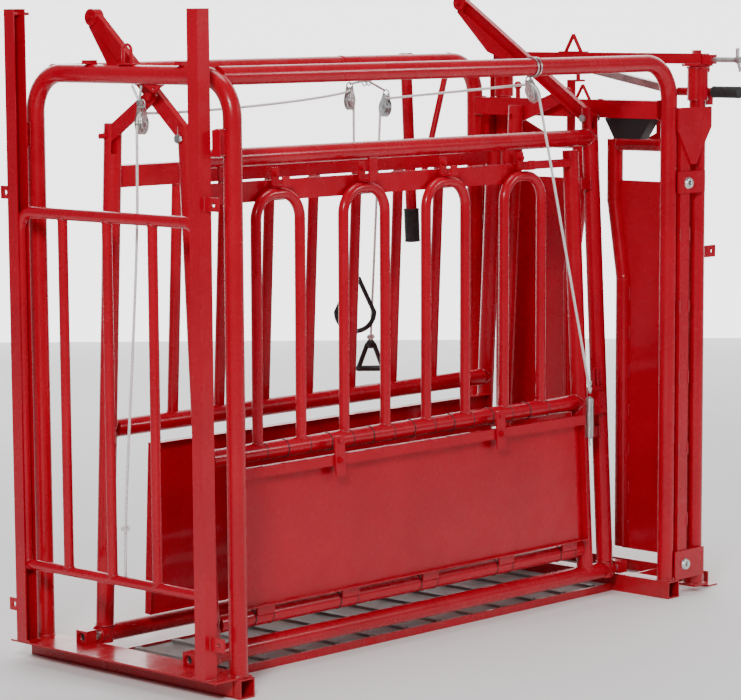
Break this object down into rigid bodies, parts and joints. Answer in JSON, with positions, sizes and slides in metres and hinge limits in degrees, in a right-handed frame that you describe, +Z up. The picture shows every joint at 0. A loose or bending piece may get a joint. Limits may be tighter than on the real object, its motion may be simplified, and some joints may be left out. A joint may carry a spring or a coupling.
{
  "type": "cattle squeeze chute",
  "caption": "Manual cattle squeeze chute: tube frame with sliding tail gate, two squeeze sides with drop bars and kick panel, and a two-door head gate.",
  "frame": {"origin": "centre of the chute's bounding box, on the ground", "axes": "+X runs along the chute from the tail gate to the head gate, +Y to the far side where the squeeze lever hangs, +Z up"},
  "size_m": [2.635, 1.213, 2.2023],
  "materials": {
    "red_powder_coat": "glossy powder coat",
    "floor_plate": "rough anti-slip",
    "zinc": "zinc plated",
    "black_steel": "satin black",
    "rubber_grip": "matte ribbed",
    "white_rope": "braided"
  },
  "bodies": {
    "frame": {"rear_base_beam": "red_powder_coat", "front_base_beam": "red_powder_coat", "base_rails": "red_powder_coat", "floor_pan": "floor_plate", "front_sill": "red_powder_coat", "rear_hoop": "red_powder_coat", "near_top_rail": "red_powder_coat", "far_top_rail": "red_powder_coat", "tail_channels": "red_powder_coat", "rope_hangers": "zinc", "header_beam": "red_powder_coat", "latch_housing": "black_steel", "top_beam": "red_powder_coat", "head_gate_sides": "red_powder_coat", "pivot_pipes": "zinc", "arm_guides": "red_powder_coat", "pulley_blocks": "zinc", "tail_rope_fall": "white_rope", "tail_rope_run": "white_rope", "head_rope": "white_rope"},
    "adjusting_screw": {"adjusting_screw": "zinc"},
    "tail_gate": {"tail_gate": "red_powder_coat"},
    "near_side": {"near_side_frame": "red_powder_coat", "near_hinge_tubes": "red_powder_coat", "near_side_rails": "red_powder_coat", "arm_bolts": "zinc", "front_latch": "red_powder_coat", "head_spring": "zinc"},
    "far_side": {"far_side_frame": "red_powder_coat", "far_side_bars": "red_powder_coat", "far_panel": "red_powder_coat"},
    "kick_panel": {"kick_panel": "red_powder_coat"},
    "panel_latch_rear": {"panel_latch_rear": "red_powder_coat"},
    "panel_latch_front": {"panel_latch_front": "red_powder_coat"},
    "rear_arm": {"rear_arm": "red_powder_coat"},
    "front_arm": {"front_arm": "red_powder_coat"},
    "rear_link": {"rear_link": "red_powder_coat"},
    "front_link": {"front_link": "red_powder_coat"},
    "squeeze_lever": {"squeeze_lever": "red_powder_coat", "lever_grip": "rubber_grip"},
    "lever_rod": {"lever_rod": "red_powder_coat"},
    "near_door": {"near_door": "red_powder_coat", "door_grip": "rubber_grip"},
    "far_door": {"far_door": "red_powder_coat"},
    "tie_bar": {"tie_bar": "zinc"},
    "ring_handle": {"ring_handle": "black_steel"},
    "d_handle": {"d_handle": "black_steel"},
    "rear_sheave": {"rear_sheave": "zinc"},
    "sheave_1": {"sheave_1": "zinc"},
    "sheave_2": {"sheave_2": "zinc"},
    "front_sheave": {"front_sheave": "zinc"},
    "drop_bar_1": {"drop_bar_1": "red_powder_coat"},
    "bar_latch_1": {"bar_latch_1": "red_powder_coat"},
    "drop_bar_2": {"drop_bar_2": "red_powder_coat"},
    "bar_latch_2": {"bar_latch_2": "red_powder_coat"},
    "drop_bar_3": {"drop_bar_3": "red_powder_coat"},
    "bar_latch_3": {"bar_latch_3": "red_powder_coat"},
    "drop_bar_4": {"drop_bar_4": "red_powder_coat"},
    "bar_latch_4": {"bar_latch_4": "red_powder_coat"}
  },
  "joints": [
    {"name": "tail_gate_slide", "type": "slide", "parent": "frame", "child": "tail_gate", "axis": [0, 0, 1], "range_m": [0, 0.62], "deforming": ["tail_rope_fall", "tail_rope_run"]},
    {"name": "near_side_swing", "type": "hinge", "parent": "frame", "child": "near_side", "pos_m": [-1.1825, -0.2065, 0.09], "axis": [1, 0, 0], "range_deg": [0, 6.5]},
    {"name": "far_side_swing", "type": "hinge", "parent": "frame", "child": "far_side", "pos_m": [-1.1825, 0.3135, 0.09], "axis": [1, 0, 0], "range_deg": [-6.5, 0]},
    {"name": "kick_panel_fold", "type": "hinge", "parent": "near_side", "child": "kick_panel", "pos_m": [-1.1825, -0.20168, 0.18688], "axis": [1, 0, 0], "range_deg": [0, 95]},
    {"name": "panel_latch_rear_turn", "type": "hinge", "parent": "kick_panel", "child": "panel_latch_rear", "pos_m": [-0.5425, -0.24772, 0.66977], "axis": [0, -0.9988, 0.0497], "range_deg": [0, 90]},
    {"name": "panel_latch_front_turn", "type": "hinge", "parent": "kick_panel", "child": "panel_latch_front", "pos_m": [0.2725, -0.24772, 0.66977], "axis": [0, -0.9988, 0.0497], "range_deg": [0, 90]},
    {"name": "drop_bar_1_fold", "type": "hinge", "parent": "near_side", "child": "drop_bar_1", "pos_m": [-1.1825, -0.17493, 0.72422], "axis": [1, 0, 0], "range_deg": [0, 100]},
    {"name": "bar_latch_1_lift", "type": "slide", "parent": "near_side", "child": "bar_latch_1", "axis": [0, 0.0497, 0.9988], "range_m": [0, 0.035]},
    {"name": "drop_bar_2_fold", "type": "hinge", "parent": "near_side", "child": "drop_bar_2", "pos_m": [-1.1825, -0.17493, 0.72422], "axis": [1, 0, 0], "range_deg": [0, 100]},
    {"name": "bar_latch_2_lift", "type": "slide", "parent": "near_side", "child": "bar_latch_2", "axis": [0, 0.0497, 0.9988], "range_m": [0, 0.035]},
    {"name": "drop_bar_3_fold", "type": "hinge", "parent": "near_side", "child": "drop_bar_3", "pos_m": [-1.1825, -0.17493, 0.72422], "axis": [1, 0, 0], "range_deg": [0, 100]},
    {"name": "bar_latch_3_lift", "type": "slide", "parent": "near_side", "child": "bar_latch_3", "axis": [0, 0.0497, 0.9988], "range_m": [0, 0.035]},
    {"name": "drop_bar_4_fold", "type": "hinge", "parent": "near_side", "child": "drop_bar_4", "pos_m": [-1.1825, -0.17493, 0.72422], "axis": [1, 0, 0], "range_deg": [0, 100]},
    {"name": "bar_latch_4_lift", "type": "slide", "parent": "near_side", "child": "bar_latch_4", "axis": [0, 0.0497, 0.9988], "range_m": [0, 0.035]},
    {"name": "rear_arm_swing", "type": "hinge", "parent": "near_side", "child": "rear_arm", "pos_m": [-1.0985, -0.12361, 1.75494], "axis": [1, 0, 0], "range_deg": [-33.5, 0]},
    {"name": "front_arm_swing", "type": "hinge", "parent": "near_side", "child": "front_arm", "pos_m": [0.9035, -0.12361, 1.75494], "axis": [1, 0, 0], "range_deg": [-31, 0]},
    {"name": "rear_link_swing", "type": "hinge", "parent": "far_side", "child": "rear_link", "pos_m": [-1.1185, 0.23061, 1.75494], "axis": [1, 0, 0], "range_deg": [0, 6.6]},
    {"name": "front_link_swing", "type": "hinge", "parent": "far_side", "child": "front_link", "pos_m": [0.9225, 0.23061, 1.75494], "axis": [1, 0, 0], "range_deg": [0, 6.6]},
    {"name": "squeeze_lever_pull", "type": "hinge", "parent": "frame", "child": "squeeze_lever", "pos_m": [0.6795, 0.5785, 1.957], "axis": [0, 1, 0], "range_deg": [0, 62]},
    {"name": "lever_rod_pivot", "type": "hinge", "parent": "squeeze_lever", "child": "lever_rod", "pos_m": [0.7478, 0.5785, 1.5028], "axis": [0, 1, 0], "range_deg": [-10.2, 0]},
    {"name": "near_door_swing", "type": "hinge", "parent": "frame", "child": "near_door", "pos_m": [1.1725, -0.4145, 1], "axis": [0, 0, -1], "range_deg": [0, 75]},
    {"name": "far_door_swing", "type": "hinge", "parent": "frame", "child": "far_door", "pos_m": [1.1725, 0.5215, 1], "axis": [0, 0, -1], "range_deg": [-75, 0]},
    {"name": "tie_bar_pivot", "type": "hinge", "parent": "near_door", "child": "tie_bar", "pos_m": [1.2375, -0.2275, 1.842], "axis": [0, 0, 1], "range_deg": [0, 70]},
    {"name": "ring_handle_drop", "type": "slide", "parent": "frame", "child": "ring_handle", "axis": [0, 0, -1], "range_m": [0, 0.62]},
    {"name": "d_handle_pull", "type": "slide", "parent": "frame", "child": "d_handle", "axis": [0, 0, -1], "range_m": [0, 0.1], "stiffness_N_per_m": 500, "springref_m": -0.02, "deforming": ["head_rope", "head_spring"]},
    {"name": "rear_sheave_turn", "type": "hinge", "parent": "frame", "child": "rear_sheave", "pos_m": [-1.1625, 0.0235, 1.8], "axis": [-0.319, 0.9478, 0], "continuous": true},
    {"name": "sheave_1_turn", "type": "hinge", "parent": "frame", "child": "sheave_1", "pos_m": [0.3145, 0.5215, 1.824], "axis": [-0.319, 0.9478, 0], "continuous": true},
    {"name": "sheave_2_turn", "type": "hinge", "parent": "frame", "child": "sheave_2", "pos_m": [0.5035, 0.5215, 1.793], "axis": [0.9616, -0.2577, -0.0941], "continuous": true},
    {"name": "front_sheave_turn", "type": "hinge", "parent": "frame", "child": "front_sheave", "pos_m": [0.2475, -0.4145, 1.868], "axis": [-0.8975, 0.2405, -0.3697], "continuous": true},
    {"name": "adjusting_screw_turn", "type": "hinge", "parent": "frame", "child": "adjusting_screw", "pos_m": [1.1725, -0.5465, 1.966], "axis": [0, -1, 0], "continuous": true}
  ],
  "couplings": [
    {"joint": "far_side_swing", "follows": "near_side_swing", "ratio": -1},
    {"joint": "rear_arm_swing", "follows": "near_side_swing", "ratio": -5.12},
    {"joint": "front_arm_swing", "follows": "near_side_swing", "ratio": -4.72},
    {"joint": "rear_link_swing", "follows": "near_side_swing", "ratio": 1},
    {"joint": "front_link_swing", "follows": "near_side_swing", "ratio": 1},
    {"joint": "squeeze_lever_pull", "follows": "near_side_swing", "ratio": 9.5},
    {"joint": "lever_rod_pivot", "follows": "near_side_swing", "ratio": -1.54},
    {"joint": "far_door_swing", "follows": "near_door_swing", "ratio": -1},
    {"joint": "tie_bar_pivot", "follows": "near_door_swing", "ratio": 0.93},
    {"joint": "ring_handle_drop", "follows": "tail_gate_slide", "ratio": 1},
    {"joint": "rear_sheave_turn", "follows": "tail_gate_slide", "rad_per_m": 30.3},
    {"joint": "sheave_1_turn", "follows": "tail_gate_slide", "rad_per_m": 30.3},
    {"joint": "sheave_2_turn", "follows": "d_handle_pull", "rad_per_m": -30.3},
    {"joint": "front_sheave_turn", "follows": "d_handle_pull", "rad_per_m": 30.3}
  ]
}
